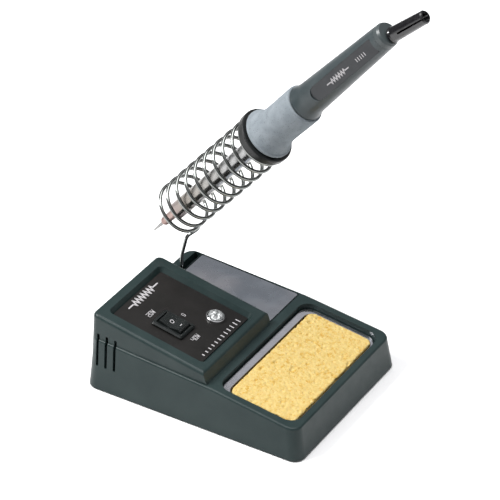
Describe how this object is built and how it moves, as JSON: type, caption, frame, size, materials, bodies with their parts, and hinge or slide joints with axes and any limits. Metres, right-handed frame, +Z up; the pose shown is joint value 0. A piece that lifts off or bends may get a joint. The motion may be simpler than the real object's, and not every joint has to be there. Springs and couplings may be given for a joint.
{
  "type": "soldering iron station",
  "caption": "Soldering station with a control box, sponge tray, heat plate and a spring holder carrying the iron.",
  "frame": {"origin": "middle of the whole object's footprint, on the surface it stands on", "axes": "+X to the user's right, +Y to the rear, +Z up"},
  "size_m": [0.114, 0.1792, 0.2534],
  "materials": {
    "housing": "fine moulded grain, dark green-grey",
    "cover": "moulded",
    "screw_steel": "zinc plated",
    "rubber": "matt black",
    "panel": "satin printed overlay",
    "switch_black": "moulded black",
    "brass": "plain",
    "bright_metal": "bright",
    "lens": "faceted clear",
    "nut_white": "nylon",
    "neon": "clear bulb",
    "block_white": "nylon",
    "wire_insulation": "PVC insulation",
    "plate_steel": "satin",
    "tray_steel": "pressed and plated",
    "sponge": "cellulose sponge",
    "spring_chrome": "plated spring wire",
    "ring_black": "black",
    "clamp_steel": "zinc plated",
    "tip_plate": "iron plated copper",
    "barrel_steel": "stainless",
    "ceramic": "unglazed",
    "nichrome": "resistance wire",
    "mica": "wrapped mica",
    "foam": "closed-cell foam, blue-grey",
    "handle": "moulded slate grey",
    "label": "recessed label",
    "handle_dark": "moulded slate grey",
    "boot": "glossy black"
  },
  "bodies": {
    "base": {"top_housing": "housing", "bottom_cover": "cover", "cover_screws": "screw_steel", "rubber_feet": "rubber", "panel_plate": "panel", "switch_body": "switch_black", "switch_contact": "brass", "switch_terminals": "brass", "indicator_bezel": "bright_metal", "indicator_lens": "lens", "indicator_nut": "nut_white", "neon_bulb": "neon", "lamp_leads": "screw_steel", "terminal_block": "block_white", "terminal_screws": "brass", "rectifier_diode": "switch_black", "switch_wires": "wire_insulation", "mains_gland": "rubber", "iron_cord_gland": "rubber", "heat_plate": "plate_steel", "holder_wire": "spring_chrome", "holder_ring": "ring_black", "holder_clamp": "clamp_steel", "clamp_screws": "screw_steel"},
    "rocker": {"rocker": "switch_black"},
    "tray": {"sponge_tray": "tray_steel"},
    "sponge": {"sponge": "sponge"},
    "iron": {"tip": "tip_plate", "barrel": "barrel_steel", "tip_screw": "screw_steel", "heater_bobbin": "ceramic", "heater_winding": "nichrome", "mica_sleeve": "mica", "barrel_flange": "barrel_steel", "flange_screws": "screw_steel", "heater_leads": "wire_insulation", "lead_connectors": "brass", "grip_foam": "foam", "handle_body": "handle", "handle_label": "label", "end_cap": "handle_dark", "cord_boot": "boot"}
  },
  "joints": [
    {"name": "rocker_tilt", "type": "hinge", "parent": "base", "child": "rocker", "pos_m": [-0.0278, 0.03619, 0.04], "axis": [1, 0, 0], "range_deg": [-12, 12]},
    {"name": "tray_lift", "type": "slide", "parent": "base", "child": "tray", "axis": [0, -0.1357, 0.9907], "range_m": [0, 0.03]},
    {"name": "sponge_lift", "type": "slide", "parent": "tray", "child": "sponge", "axis": [0, -0.1357, 0.9907], "range_m": [0, 0.025]},
    {"name": "iron_pull", "type": "slide", "parent": "base", "child": "iron", "axis": [0, -0.6508, 0.7593], "range_m": [0, 0.14]}
  ]
}
